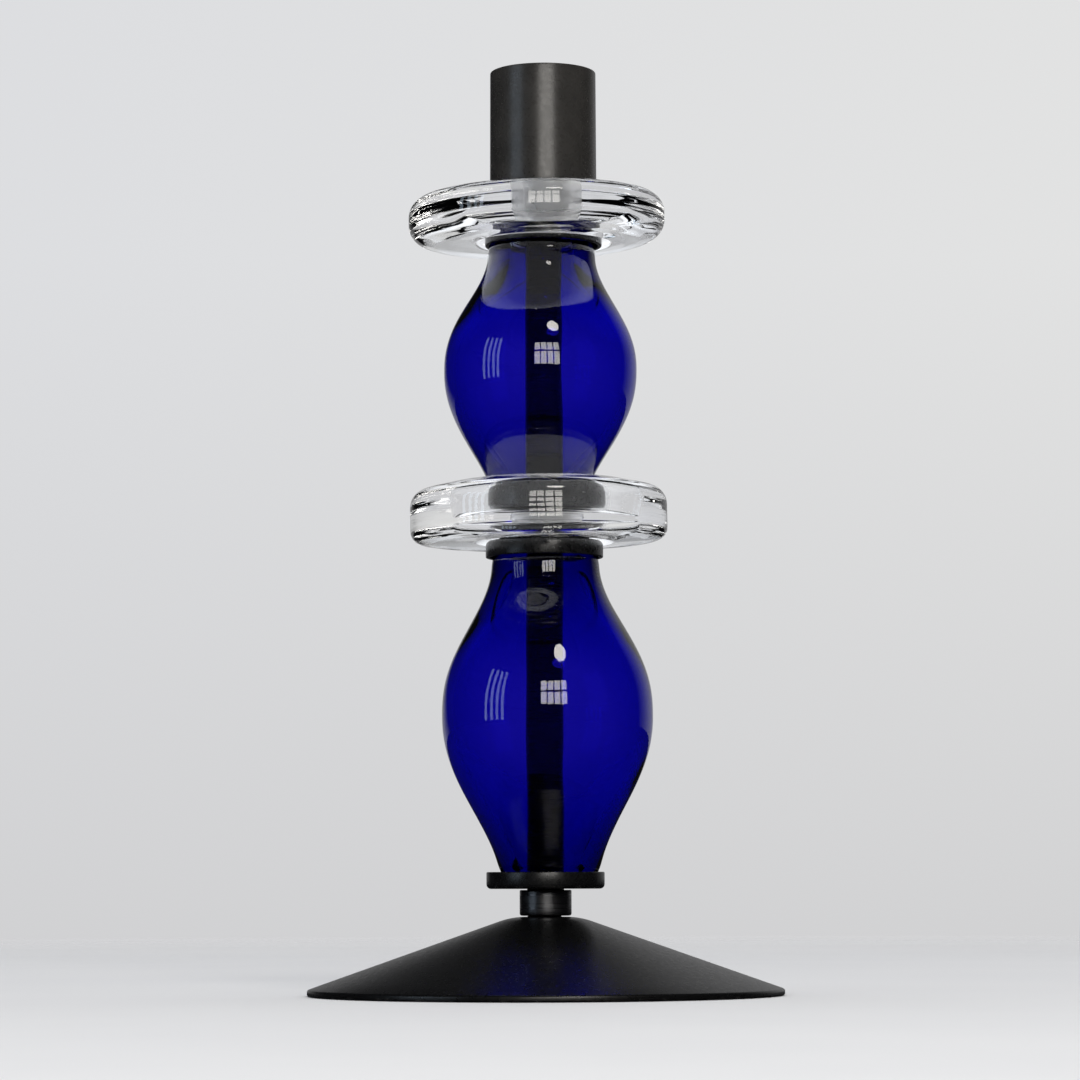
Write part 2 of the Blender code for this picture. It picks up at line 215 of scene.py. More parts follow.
def copy_piece(piece, name, lift, upside_down):
    """A copy with its own mesh, turned over if asked and lifted by so many millimetres."""
    hold(piece)
    bpy.ops.object.duplicate(linked=False)
    twin = bpy.context.object
    twin.name = name
    twin.data.name = name
    if upside_down:
        bpy.ops.transform.rotate(value=math.pi, orient_axis="X", center_override=(0, 0, 0))
    bpy.ops.transform.translate(value=(0, 0, lift * MM))
    return twin


# %% [markdown]
# ## Building finishes from nodes
# Every finish is a small node tree that reads the object's own coordinates in metres, so a noise
# of scale 1000 has lumps about a millimetre across. These helpers keep the trees short to write.

# %% Node helpers
def new_finish(name):
    finish = bpy.data.materials.new(name)
    finish.use_nodes = True
    return finish, finish.node_tree.nodes["Principled BSDF"]


def add_node(finish, kind, settings=None, inputs=None):
    """Adds a node, sets its options, and fills its inputs with values or with other outputs."""
    node = finish.node_tree.nodes.new(kind)
    for name, value in (settings or {}).items():
        setattr(node, name, value)
    for name, value in (inputs or {}).items():
        if isinstance(value, bpy.types.NodeSocket):
            finish.node_tree.links.new(value, node.inputs[name])
        else:
            node.inputs[name].default_value = value
    return node


def join_up(finish, output, target):
    finish.node_tree.links.new(output, target)


def place_in(finish, stretch=(1, 1, 1)):
    """The point being shaded, in the object's own metres, stretched if asked."""
    where = add_node(finish, "ShaderNodeTexCoord")
    inputs = {"Vector": where.outputs["Object"], "Scale": stretch}
    return add_node(finish, "ShaderNodeMapping", inputs=inputs).outputs["Vector"]


def noise_in(finish, scale, detail, stretch=(1, 1, 1)):
    inputs = {"Vector": place_in(finish, stretch), "Scale": scale, "Detail": detail}
    return add_node(finish, "ShaderNodeTexNoise", inputs=inputs).outputs["Fac"]


def spread(finish, value, low, high, first, last):
    """Carries a value from the range low to high over to the range first to last, and stops there."""
    node = add_node(finish, "ShaderNodeMapRange", {"clamp": True})
    join_up(finish, value, node.inputs["Value"])
    for name, number in zip(("From Min", "From Max", "To Min", "To Max"), (low, high, first, last)):
        node.inputs[name].default_value = number
    return node.outputs["Result"]


def sum_up(finish, operation, first, second):
    """One step of arithmetic between two outputs, or an output and a number."""
    node = add_node(finish, "ShaderNodeMath", {"operation": operation})
    for socket, value in zip(node.inputs, (first, second)):
        if isinstance(value, bpy.types.NodeSocket):
            join_up(finish, value, socket)
        else:
            socket.default_value = value
    return node.outputs["Value"]


def mix_colours(finish, share, first, second):
    """Blends two colours, or outputs that carry colours, by a share from 0 to 1."""
    node = add_node(finish, "ShaderNodeMix", {"data_type": "RGBA"})
    sockets = [s for s in node.inputs if s.type == "RGBA"]
    join_up(finish, share, node.inputs[0])
    for socket, value in zip(sockets, (first, second)):
        if isinstance(value, bpy.types.NodeSocket):
            join_up(finish, value, socket)
        else:
            socket.default_value = (*value, 1.0)
    return [s for s in node.outputs if s.type == "RGBA"][0]


def bump_by(finish, height, depth, strength, under=None):
    """A bump of so many millimetres, laid over another one if given."""
    inputs = {"Height": height, "Distance": depth * MM, "Strength": strength}
    if under is not None:
        inputs["Normal"] = under
    return add_node(finish, "ShaderNodeBump", inputs=inputs).outputs["Normal"]


def depth_from_edges(finish, edges):
    """The distance in metres to the nearest of several round edges, given as (radius, height) in mm."""
    point = place_in(finish)
    flat = add_node(finish, "ShaderNodeVectorMath", {"operation": "MULTIPLY"})
    join_up(finish, point, flat.inputs[0])
    flat.inputs[1].default_value = (1, 1, 0)
    length = add_node(finish, "ShaderNodeVectorMath", {"operation": "LENGTH"})
    join_up(finish, flat.outputs["Vector"], length.inputs[0])
    parts = add_node(finish, "ShaderNodeSeparateXYZ", inputs={"Vector": point})
    nearest = None
    for radius, height in edges:
        across = sum_up(finish, "SUBTRACT", length.outputs["Value"], radius * MM)
        up = sum_up(finish, "SUBTRACT", parts.outputs["Z"], height * MM)
        square = sum_up(finish, "ADD", sum_up(finish, "POWER", across, 2), sum_up(finish, "POWER", up, 2))
        reach = sum_up(finish, "SQRT", square, 0)
        nearest = reach if nearest is None else sum_up(finish, "MINIMUM", nearest, reach)
    return nearest


# %% [markdown]
# ## The foot
# The real foot is spun from a disc of sheet steel over a cone-shaped former, with its edge turned
# down into a flat standing lip, and then sprayed satin black. The sheet is one wall of even
# thickness, so the outline goes out along the top, round the lip and back along the underside.

# %% Satin black enamel
def satin_enamel(name, colour, lighter, wear_and_highlight_edges, sheen=(0.24, 0.34)):
    """Sprayed satin paint: faint mottling, orange-peel bump, grey edges of wear and painted highlight."""
    finish, shader = new_finish(name)
    cloudy = noise_in(finish, 140, 5)
    fine = noise_in(finish, 900, 3)
    painted = mix_colours(finish, spread(finish, cloudy, 0.4, 0.7, 0, 1), colour, lighter)
    # Near the given edges the colour turns lighter grey: partly rubbed wear, partly a painted highlight.
    edge = spread(finish, depth_from_edges(finish, wear_and_highlight_edges), 0.0001, 0.0006, 1, 0)
    patchy = spread(finish, noise_in(finish, 420, 3), 0.55, 0.75, 0, 0.5)
    wear_and_highlight = sum_up(finish, "MULTIPLY", edge, patchy)
    join_up(finish, mix_colours(finish, wear_and_highlight, painted, (0.035, 0.034, 0.033)), shader.inputs["Base Color"])
    satin = spread(finish, fine, 0.3, 0.7, *sheen)
    rubbed = sum_up(finish, "SUBTRACT", satin, sum_up(finish, "MULTIPLY", wear_and_highlight, 0.12))
    join_up(finish, rubbed, shader.inputs["Roughness"])
    peel = bump_by(finish, noise_in(finish, 700, 1), 0.002, 0.2)
    join_up(finish, bump_by(finish, cloudy, 0.01, 0.2, peel), shader.inputs["Normal"])
    return finish


FOOT_RADIUS = 62.4
LIP_HEIGHT = 1.45
# The lighter grey at the lip's lower edge is partly wear and partly a painted highlight.
foot_enamel = satin_enamel(
    "satin_black_foot",
    (0.0015, 0.0015, 0.0016),
    (0.0025, 0.0025, 0.0027),
    [(FOOT_RADIUS, 0.1)],
    (0.26, 0.34),
)
print("finish:", foot_enamel.name)

# %% [markdown]
# The cone's flank is straight, meets the flat top in a wide soft bend, and ends in a lip a
# millimetre and a half high with a tight bend above it.

# %% Spin the foot
FOOT_SHEET = 1.5
FOOT_SLOPE = 0.352
LIP_WIDTH = 2.2
WIDE_BEND = 20.0
ROD_HOLE = 5.2


def make_foot():
    bottom, top = heights_of("conical_foot")
    drop = FOOT_SHEET * math.hypot(1, FOOT_SLOPE)
    flat_top = FOOT_RADIUS - (top - LIP_HEIGHT) / FOOT_SLOPE
    inner_flat = flat_top + (FOOT_SHEET - drop) / FOOT_SLOPE
    inner_lip = FOOT_RADIUS - LIP_WIDTH
    outline = rounded(
        [
            (ROD_HOLE, top, 0.15),
            (flat_top, top, WIDE_BEND),
            (FOOT_RADIUS, LIP_HEIGHT, 0.8),
            (FOOT_RADIUS, bottom, 0.3),
            (inner_lip, bottom, 0.2),
            (inner_lip, LIP_HEIGHT + LIP_WIDTH * FOOT_SLOPE - drop, 0.5),
            (inner_flat, top - FOOT_SHEET, WIDE_BEND - FOOT_SHEET),
            (ROD_HOLE, top - FOOT_SHEET, 0.15),
        ],
        arc_steps=10,
    )
    foot = turn(draw_outline("spun_foot", split(outline, 6.0)), 144)
    return place_piece(foot, "stand", "conical_foot", "satin_black_paint", foot_enamel)


make_foot()

# %% [markdown]
# ## The fastening under the foot
# A plain washer, a split spring washer and a hexagon nut hold the rod's lower end. They are zinc
# plated, which leaves a cool grey shine with faint cloudy patches.

# %% Zinc plating
def zinc_plating():
    finish, shader = new_finish("zinc_plated_steel")
    cloudy = noise_in(finish, 260, 4)
    scratchy = noise_in(finish, 700, 3, stretch=(1, 1, 0.15))
    shade = spread(finish, cloudy, 0.3, 0.7, 0, 1)
    tone = mix_colours(finish, shade, (0.4, 0.41, 0.43), (0.6, 0.61, 0.62))
    join_up(finish, tone, shader.inputs["Base Color"])
    shader.inputs["Metallic"].default_value = 1.0
    join_up(finish, spread(finish, scratchy, 0.3, 0.7, 0.24, 0.46), shader.inputs["Roughness"])
    join_up(finish, bump_by(finish, scratchy, 0.01, 0.5), shader.inputs["Normal"])
    return finish


zinc = zinc_plating()
print("finish:", zinc.name)

# %% [markdown]
# The flat washer is stamped, which rounds one edge of it more than the other. The spring washer
# is a coil of square wire cut through once, so its outline is spun most of the way round and the
# two cut ends are filled.

# %% Stamp the washer and coil the spring washer
WASHER_HOLE = 5.25
WASHER_RADIUS = 8.0
SPRING_HOLE = 5.3
SPRING_RADIUS = 7.8
SPRING_GAP = 15


def make_washer():
    bottom, top = heights_of("foot_washer")
    corners = [
        (WASHER_HOLE, top, 0.1),
        (WASHER_RADIUS, top, 0.1),
        (WASHER_RADIUS, bottom, 0.45),
        (WASHER_HOLE, bottom, 0.3),
    ]
    washer = turn(draw_outline("stamped_washer", rounded(corners, 3)), 72)
    return place_piece(washer, "stand", "foot_washer", "zinc_steel", zinc)


def make_spring_washer():
    bottom, top = heights_of("foot_spring_washer")
    corners = [
        (SPRING_HOLE, top, 0.2),
        (SPRING_RADIUS, top, 0.3),
        (SPRING_RADIUS, bottom, 0.3),
        (SPRING_HOLE, bottom, 0.2),
    ]
    coil = draw_outline("coiled_spring_washer", rounded(corners, 3))
    hold(coil)
    start = math.radians(-SPRING_GAP / 2)
    bpy.ops.transform.rotate(value=start, orient_axis="Z", center_override=(0, 0, 0))
    bpy.ops.object.transform_apply(location=True, rotation=True, scale=True)
    turn(coil, 70, math.radians(360 - SPRING_GAP))
    cap_ends(coil)
    return place_piece(coil, "stand", "foot_spring_washer", "zinc_steel", zinc)


make_washer()
make_spring_washer()

# %% [markdown]
# A hexagon nut starts as a six-sided bar. A lathe then bores it and bevels its corners at thirty
# degrees, so the bar is cut down here to what it shares with a turned ring of that shape.

# %% Cut the nut
NUT_FLATS = 14.0
NUT_BORE = 4.95
NUT_MOUTH = 5.6
NUT_MOUTH_DEPTH = 0.7
NUT_BEVEL = math.radians(30)
PAST_FACE = 0.01


def make_nut():
    bottom, top = heights_of("foot_nut")
    middle = (bottom + top) / 2
    half = (top - bottom) / 2
    bpy.ops.object.select_all(action="DESELECT")
    across_corners = NUT_FLATS / 2 / math.cos(math.pi / 6)
    bpy.ops.mesh.primitive_cylinder_add(
        vertices=6, radius=across_corners * MM, depth=2 * half * MM, location=(0, 0, middle * MM)
    )
    nut = bpy.context.object
    nut.name = "hexagon_nut"
    nut.data.name = "hexagon_nut"
    bpy.ops.object.transform_apply(location=True, rotation=True, scale=True)
    washer_face = NUT_FLATS / 2 - 0.1
    outer = across_corners + 1.0
    fall = (outer - washer_face) * math.tan(NUT_BEVEL)
    ring = [
        (NUT_BORE, middle + half - NUT_MOUTH_DEPTH),
        (NUT_MOUTH, middle + half + PAST_FACE),
        (washer_face, middle + half + PAST_FACE),
        (outer, middle + half - fall),
        (outer, middle - half + fall),
        (washer_face, middle - half - PAST_FACE),
        (NUT_MOUTH, middle - half - PAST_FACE),
        (NUT_BORE, middle - half + NUT_MOUTH_DEPTH),
    ]
    turning = turn(draw_outline("nut_turning", ring), 72)
    cut = nut.modifiers.new("turn_down", "BOOLEAN")
    cut.operation = "INTERSECT"
    cut.object = turning
    apply_modifiers(nut)
    bpy.data.objects.remove(turning, do_unlink=True)
    return place_piece(nut, "stand", "foot_nut", "zinc_steel", zinc)


make_nut()

# %% [markdown]
# ## Dark steel
# The rod and the sleeve are dark steel straight off the lathe, with its fine lines round them. The
# sleeve is bare and oiled, and the rod is blackened.

# %% Dark steel finishes
def dark_steel(name, deep, pale):
    """Dark oiled steel with the lathe's fine lines round it."""
    finish, shader = new_finish(name)
    lines = noise_in(finish, 2600, 2, stretch=(0.02, 0.02, 1))
    cloudy = noise_in(finish, 220, 3)
    shade = spread(finish, cloudy, 0.3, 0.7, 0, 1)
    tone = mix_colours(finish, shade, deep, pale)
    join_up(finish, tone, shader.inputs["Base Color"])
    shader.inputs["Metallic"].default_value = 1.0
    join_up(finish, spread(finish, lines, 0.3, 0.7, 0.22, 0.4), shader.inputs["Roughness"])
    join_up(finish, bump_by(finish, lines, 0.01, 0.5), shader.inputs["Normal"])
    return finish


gunmetal = dark_steel("gunmetal_steel", (0.1, 0.102, 0.108), (0.14, 0.14, 0.145))
blackened = dark_steel("blackened_steel", (0.004, 0.004, 0.0045), (0.009, 0.009, 0.0095))
print("finishes:", gunmetal.name, "and", blackened.name)

# %% [markdown]
# ## The rod
# The rod is a plain M10 bar with a thread cut at each end: one for the nut, one for the candle
# cup. The thread is a three-sided ridge carried round and up by 1.25 mm a turn by a Screw modifier,
# and laid over a core that is thinner where the thread runs.

# %% Cut the rod and its threads
PITCH = 1.25
SHANK = 4.85
THREAD_ROOT = 4.15
LOWER_THREAD_TURNS = 16
UPPER_THREAD_TURNS = 10
END_BEVEL = 0.5
THREAD_RUN_OUT = 0.6


def make_thread(name, bottom, turns):
    """A closed helical ridge that starts at a height and climbs by the pitch each turn."""
    half = PITCH * 0.44
    profile = [(THREAD_ROOT - 0.1, bottom - half), (SHANK, bottom), (THREAD_ROOT - 0.1, bottom + half)]
    ridge = draw_outline(name, profile)
    screw = ridge.modifiers.new("climb", "SCREW")
    screw.angle = TURN
    screw.screw_offset = PITCH * MM
    screw.iterations = turns
    screw.steps = 32
    screw.render_steps = 32
    apply_modifiers(ridge)
    cap_ends(ridge)
    return ridge


def make_rod():
    bottom, top = heights_of("tie_rod")
    lower = bottom + PITCH * (LOWER_THREAD_TURNS + 1)
    upper = top - PITCH * (UPPER_THREAD_TURNS + 1)
    core = [
        (0, top),
        (THREAD_ROOT - 0.4, top),
        (THREAD_ROOT, top - END_BEVEL),
        (THREAD_ROOT, upper),
        (SHANK, upper - THREAD_RUN_OUT),
        (SHANK, lower + THREAD_RUN_OUT),
        (THREAD_ROOT, lower),
        (THREAD_ROOT, bottom + END_BEVEL),
        (THREAD_ROOT - 0.4, bottom),
        (0, bottom),
    ]
    rod = turn(draw_outline("threaded_rod", core, closed=False), 64)
    low_thread = make_thread("lower_thread", bottom + PITCH * 0.8, LOWER_THREAD_TURNS)
    high_thread = make_thread("upper_thread", upper + PITCH * 0.2, UPPER_THREAD_TURNS)
    hold(rod)
    low_thread.select_set(True)
    high_thread.select_set(True)
    bpy.ops.object.join()
    return place_piece(rod, "stand", "tie_rod", "gunmetal_steel", blackened)


make_rod()

# %% [markdown]
# ## The sleeve
# A short dark tube lifts the lowest cap clear of the foot. It was parted off a bar on a lathe, and
# its lower edge is bevelled more than its upper one.

# %% Turn the sleeve
SLEEVE_RADIUS = 6.8


def make_sleeve():
    bottom, top = heights_of("stem_sleeve")
    corners = [
        (ROD_HOLE, top, 0.2),
        (SLEEVE_RADIUS, top, 0.35),
        (SLEEVE_RADIUS, bottom, 0.6),
        (ROD_HOLE, bottom, 0.2),
    ]
    sleeve = turn(draw_outline("parted_sleeve", split(rounded(corners, 4), 1.5)), 72)
    return place_piece(sleeve, "stand", "stem_sleeve", "gunmetal_steel", gunmetal)


make_sleeve()

# %% [markdown]
# ## Caps
# Each bulb's two ends sit in shallow pressed-steel caps. All four are the same part: the lower
# ones stand rim up and the upper ones rim down. So one is modelled and copied.

# %% Press the caps
CAP_RADIUS = 15.5
CAP_HEIGHT = 4.4
CAP_FLOOR = 1.5
CAP_RIM = 0.9
CAP_PLACES = [
    ("large_bulb_lower_cap", False),
    ("large_bulb_upper_cap", True),
    ("small_bulb_lower_cap", False),
    ("small_bulb_upper_cap", True),
]


def pressed_cap():
    well = CAP_RADIUS - CAP_RIM
    corners = [
        (well, CAP_HEIGHT, 0.25),
        (CAP_RADIUS, CAP_HEIGHT, 0.3),
        (CAP_RADIUS, 0, 1.2),
        (ROD_HOLE, 0, 0.15),
        (ROD_HOLE, CAP_FLOOR, 0.15),
        (well, CAP_FLOOR, 0.5),
    ]
    return turn(draw_outline("pressed_cap", split(rounded(corners, 4), 2.0)), 112)


def make_caps():
    pattern = pressed_cap()
    for node, upside_down in CAP_PLACES:
        bottom, top = heights_of(node)
        floor = top if upside_down else bottom
        rim = bottom if upside_down else top
        bend = floor - 0.3 if upside_down else floor + 0.3
        cap = copy_piece(pattern, f"pressed_{node}", floor, upside_down)
        # The rim and the bend below it turn lighter grey: partly wear, partly a painted highlight.
        edges = [(CAP_RADIUS, rim), (CAP_RADIUS - 0.3, bend)]
        shades = ((0.002, 0.002, 0.0022), (0.0035, 0.0035, 0.0038))
        enamel = satin_enamel(f"satin_black_{node}", *shades, edges)
        place_piece(cap, "stand", node, "satin_black_paint", enamel)
    bpy.data.objects.remove(pattern, do_unlink=True)


make_caps()

# %% [markdown]
# ## Rubber rings
# Glass never bears on steel. A ring of black rubber sits in each cap under the end of its bulb,
# thinner rings lie between the caps and the discs, and one more lets the candle cup turn on the
# upper disc. Pressed rubber bulges a little at its edges.

# %% Mould the rubber rings
def black_rubber():
    finish, shader = new_finish("black_rubber")
    cloudy = noise_in(finish, 300, 4)
    grain = noise_in(finish, 2200, 2)
    shade = spread(finish, cloudy, 0.35, 0.7, 0, 1)
    tone = mix_colours(finish, shade, (0.012, 0.012, 0.012), (0.024, 0.024, 0.023))
    join_up(finish, tone, shader.inputs["Base Color"])
    join_up(finish, spread(finish, grain, 0.3, 0.7, 0.62, 0.82), shader.inputs["Roughness"])
    join_up(finish, bump_by(finish, grain, 0.02, 0.5), shader.inputs["Normal"])
    return finish


rubber = black_rubber()
GASKET_HOLE = 8.0
PAD_HOLE = 5.3
OUTER_BULGE = 0.2
INNER_BULGE = 0.1
RUBBER_RINGS = [
    ("large_bulb_lower_gasket", "stand"),
    ("large_bulb_upper_gasket", "stand"),
    ("lower_disc_lower_pad", "stand"),
    ("lower_disc_upper_pad", "stand"),
    ("small_bulb_lower_gasket", "stand"),
    ("small_bulb_upper_gasket", "stand"),
    ("upper_disc_lower_pad", "stand"),
    ("cup_slip_washer", "cup_lift"),
]


def make_rubber_ring(node, body):
    bottom, top = heights_of(node)
    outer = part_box(node)[1].x / MM
    inner = GASKET_HOLE if "gasket" in node else PAD_HOLE
    half = (top - bottom) / 2
    corners = [
        (inner + INNER_BULGE, top, 0.25 * half),
        (outer - OUTER_BULGE, top, 0.25 * half),
        (outer, bottom + half, 0.6 * half),
        (outer - OUTER_BULGE, bottom, 0.25 * half),
        (inner + INNER_BULGE, bottom, 0.25 * half),
        (inner, bottom + half, 0.3 * half),
    ]
    ring = turn(draw_outline(f"moulded_{node}", split(rounded(corners, 2), 1.6)), 80)
    return place_piece(ring, body, node, "black_rubber", rubber)


for node, body in RUBBER_RINGS:
    make_rubber_ring(node, body)

# %% [markdown]
# ## Cobalt glass
# The bulbs are coloured right through, so the colour comes from the thickness of the wall: pale
# where it is thin, and nearly black where the eye looks along it. The surface itself is clear, and
# a volume that swallows red and green far faster than blue does the colouring.

# %% Cobalt glass finish
COBALT_TINT = (0.11, 0.01, 0.83)
COBALT_STRENGTH = 950.0


def cobalt_glass():
    finish, shader = new_finish("cobalt_glass")
    shader.inputs["Base Color"].default_value = (0.98, 0.98, 1.0, 1.0)
    shader.inputs["Transmission Weight"].default_value = 1.0
    shader.inputs["IOR"].default_value = 1.5
    smears = noise_in(finish, 90, 4, stretch=(1, 1, 0.35))
    join_up(finish, spread(finish, smears, 0.5, 0.75, 0.0, 0.03), shader.inputs["Roughness"])
    waves = noise_in(finish, 60, 1)
    join_up(finish, bump_by(finish, waves, 0.05, 0.4), shader.inputs["Normal"])
    body = add_node(finish, "ShaderNodeVolumeAbsorption")
    body.inputs["Color"].default_value = (*COBALT_TINT, 1.0)
    body.inputs["Density"].default_value = COBALT_STRENGTH
    join_up(finish, body.outputs["Volume"], finish.node_tree.nodes["Material Output"].inputs["Volume"])
    return finish


cobalt = cobalt_glass()
print("finish:", cobalt.name)

# %% [markdown]
# ## Blown bulbs
# Each bulb is a blown pear shape, open at both ends, with a wall thin at the belly and thick at
# the necks. Its swelling follows one smooth wave from neck to belly. Hand-blown glass is never
# quite round or quite upright, so a soft cloud of unevenness moves its wall a little and the
# whole bulb leans by less than a degree.

# %% Blow the bulbs
BULB_WALL_BELLY = 2.8
BULB_WALL_NECK = 5.6
LARGE_BULB = {
    "belly": 73.0,
    "radius": 27.7,
    "upper_neck": 14.2,
    "upper_reach": 40.0,
    "upper_power": 1.2,
    "lower_neck": 12.8,
    "lower_reach": 45.0,
    "lower_power": 1.1,
}
SMALL_BULB = {
    "belly": 164.5,
    "radius": 25.5,
    "upper_neck": 14.2,
    "upper_reach": 31.0,
    "upper_power": 1.15,
    "lower_neck": 11.6,
    "lower_reach": 38.0,
    "lower_power": 1.15,
}
END_TUCK = 0.8
END_TUCK_LENGTH = 4.0
END_ROUND = 0.8
BULB_LEVELS = 81
BULB_LUMP = 24
BULB_UNEVENNESS = 0.3


def swell(bulb, height):
    """How far a bulb has swelled at a height: 0 at its necks, 1 at its belly."""
    side = "upper" if height > bulb["belly"] else "lower"
    share = min(abs(height - bulb["belly"]) / bulb[f"{side}_reach"], 1.0)
    return (1 + math.cos(math.pi * share ** bulb[f"{side}_power"])) / 2


def bulb_outer(bulb, height, bottom, top):
    """The outside radius, tucked in a little where the ends sit in their caps."""
    neck = bulb["upper_neck"] if height > bulb["belly"] else bulb["lower_neck"]
    radius = neck + (bulb["radius"] - neck) * swell(bulb, height)
    from_end = min(height - bottom, top - height)
    return radius - END_TUCK * max(0.0, 1 - from_end / END_TUCK_LENGTH) ** 2


def bulb_inner(bulb, height, bottom, top):
    wall = BULB_WALL_NECK - (BULB_WALL_NECK - BULB_WALL_BELLY) * swell(bulb, height)
    return bulb_outer(bulb, height, bottom, top) - wall


def bulb_outline(bulb, bottom, top):
    """Down the outside and back up the bore, with both ends rounded."""
    levels = [bottom + (top - bottom) * step / (BULB_LEVELS - 1) for step in range(BULB_LEVELS)]
    sides = []
    for radius_at, sign, order in ((bulb_outer, -1, reversed(levels)), (bulb_inner, 1, levels)):
        for height in order:
            from_end = min(height - bottom, top - height)
            inside = max(0.0, END_ROUND - from_end)
            curl = END_ROUND - math.sqrt(max(0.0, END_ROUND**2 - inside**2))
            sides.append(Vector((radius_at(bulb, height, bottom, top) + sign * curl, height)))
    return sides


def uneven(piece, name, lump, amount, group=""):
    """Moves a surface in and out by a soft cloud pattern, as hand work leaves it. Sizes in mm."""
    cloud = bpy.data.textures.new(name, "CLOUDS")
    cloud.noise_scale = lump * MM
    cloud.noise_depth = 1
    push = piece.modifiers.new(name, "DISPLACE")
    push.texture = cloud
    push.texture_coords = "LOCAL"
    push.vertex_group = group
    push.mid_level = 0.5
    push.strength = amount * MM
    apply_modifiers(piece)


def lean(piece, degrees, axis, height, shift):
    """Tips a piece about a point on the rod's axis, and shifts it sideways. Sizes in mm."""
    hold(piece)
    angle = math.radians(-degrees)
    bpy.ops.transform.rotate(value=angle, orient_axis=axis, center_override=(0, 0, height * MM))
    bpy.ops.transform.translate(value=(shift * MM, 0, 0))


def make_bulb(name, body, node, bulb, tip, shift):
    bottom, top = heights_of(node)
    glass = turn(draw_outline(name, bulb_outline(bulb, bottom + 0.1, top - 0.1)), 128)
    uneven(glass, f"{name}_unevenness", BULB_LUMP, BULB_UNEVENNESS)
    lean(glass, tip, "Y", (bottom + top) / 2, shift)
    return place_piece(glass, body, node, "cobalt_glass", cobalt)


make_bulb("blown_large_bulb", "large_bulb", "large_glass_bulb", LARGE_BULB, -0.6, 0.65)
make_bulb("blown_small_bulb", "small_bulb", "small_glass_bulb", SMALL_BULB, 0.8, -0.9)

# %% [markdown]
# ## Clear glass
# The discs are cast in clear lead glass. It has almost no colour of its own, so all that shows is
# how it bends what is behind it: the surface has slow waves from the mould, and the drilled hole
# down the middle was left ground, which turns it milky.

# %% Clear and ground glass finishes
def clear_glass(name, roughness, wave, depth, clearness=1.0):
    finish, shader = new_finish(name)
    shader.inputs["Base Color"].default_value = (0.985, 0.99, 0.995, 1.0)
    shader.inputs["Transmission Weight"].default_value = clearness
    shader.inputs["IOR"].default_value = 1.52
    smears = noise_in(finish, 150, 4)
    join_up(finish, spread(finish, smears, 0.45, 0.75, *roughness), shader.inputs["Roughness"])
    join_up(finish, bump_by(finish, noise_in(finish, wave, 2), depth, 0.5), shader.inputs["Normal"])
    return finish


polished = clear_glass("clear_glass", (0.0, 0.02), 110, 0.02)
ground = clear_glass("ground_glass", (0.2, 0.35), 1800, 0.02, 0.45)
print("finishes:", polished.name, "and", ground.name)

# %% [markdown]
# ## Cast discs
# The lower disc has a nearly flat side, a domed top dished deep for the cap of the small bulb, and
# a shallow dish below. The upper disc has a round rim and is dished on both faces. Both rims carry
# faint rings that the mould left, and each sits a millimetre or two off its middle and tips by
# about a degree. The faces of the drilled hole take the ground finish.

# %% Cast the discs
DISC_RADIUS = 34.0
DRILLED = 6.15
RING_DEPTH = 0.005
TRUE_PART = 25.0
SOFT_REACH = 7.5
DISH_EDGE = 17.5
DISH_FADE = 4.0


def rim_rings(stops, pitch, depth):
    """Adds fine rings to the stretches of an outline that lie at the disc's rim."""
    ringed = []
    for stop in stops:
        share = max(0.0, min(1.0, (stop.x - DISC_RADIUS + 2.5) / 2.0))
        wave = depth * share * math.sin(TURN * stop.y / pitch)
        ringed.append(Vector((stop.x - depth * share + wave, stop.y)))
    return ringed


def grind_hole(disc):
    """Gives the ground finish to the faces of the drilled hole."""
    for face in disc.data.polygons:
        face.material_index = 0
        if math.hypot(face.center.x, face.center.y) < (DRILLED + 0.2) * MM:
            face.material_index = 1


def settle_rim(disc, degrees, shift):
    """Tips and shifts the outer part of a disc, while its middle stays true to the rod."""
    open_piece(disc)
    bpy.ops.mesh.select_all(action="DESELECT")
    close_piece()
    for point in disc.data.vertices:
        point.select = math.hypot(point.co.x, point.co.y) > TRUE_PART * MM
    height = sum(corner[2] for corner in disc.bound_box) / 8
    soft = {"use_proportional_edit": True, "proportional_size": SOFT_REACH * MM}
    bpy.ops.object.mode_set(mode="EDIT")
    bpy.ops.transform.rotate(
        value=math.radians(-degrees), orient_axis="Y", center_override=(0, 0, height), **soft
    )
    bpy.ops.transform.translate(value=(shift * MM, 0, 0), **soft)
    close_piece()


def outer_part(disc):
    """A vertex group that covers the disc from its dish outwards, and fades in softly."""
    group = disc.vertex_groups.new(name="outer_part")
    for point in disc.data.vertices:
        share = (math.hypot(point.co.x, point.co.y) / MM - DISH_EDGE) / DISH_FADE
        group.add([point.index], max(0.0, min(1.0, share)), "REPLACE")
    return group.name


def make_disc(name, body, node, corners, ring_pitch, tip, shift):
    stops = split(rounded(corners, 10), 0.9)
    stops = rim_rings(split(stops, 0.35), ring_pitch, RING_DEPTH)
    disc = turn(draw_outline(name, stops), 160)
    grind_hole(disc)
    part = outer_part(disc)
    uneven(disc, f"{name}_slow_waves", 17, 0.28, part)
    uneven(disc, f"{name}_fine_waves", 6, 0.02, part)
    disc.vertex_groups.clear()
    settle_rim(disc, tip, shift)
    return place_piece(disc, body, node, "clear_glass", polished, ground)


def lower_disc_corners():
    bottom = heights_of("lower_glass_disc")[0]
    underside = bottom + 1.6
    seat = bottom + 6.2
    return [
        (DRILLED, seat, 0.4),
        (16.2, seat, 0.8),
        (17.4, seat + 9.8, 1.5),
        (22.5, seat + 9.9, 4.0),
        (DISC_RADIUS, seat + 7.4, 5.0),
        (DISC_RADIUS, bottom + 0.6, 3.2),
        (28.0, bottom, 2.0),
        (18.5, bottom, 0.8),
        (16.6, underside, 0.8),
        (DRILLED, underside, 0.4),
    ]


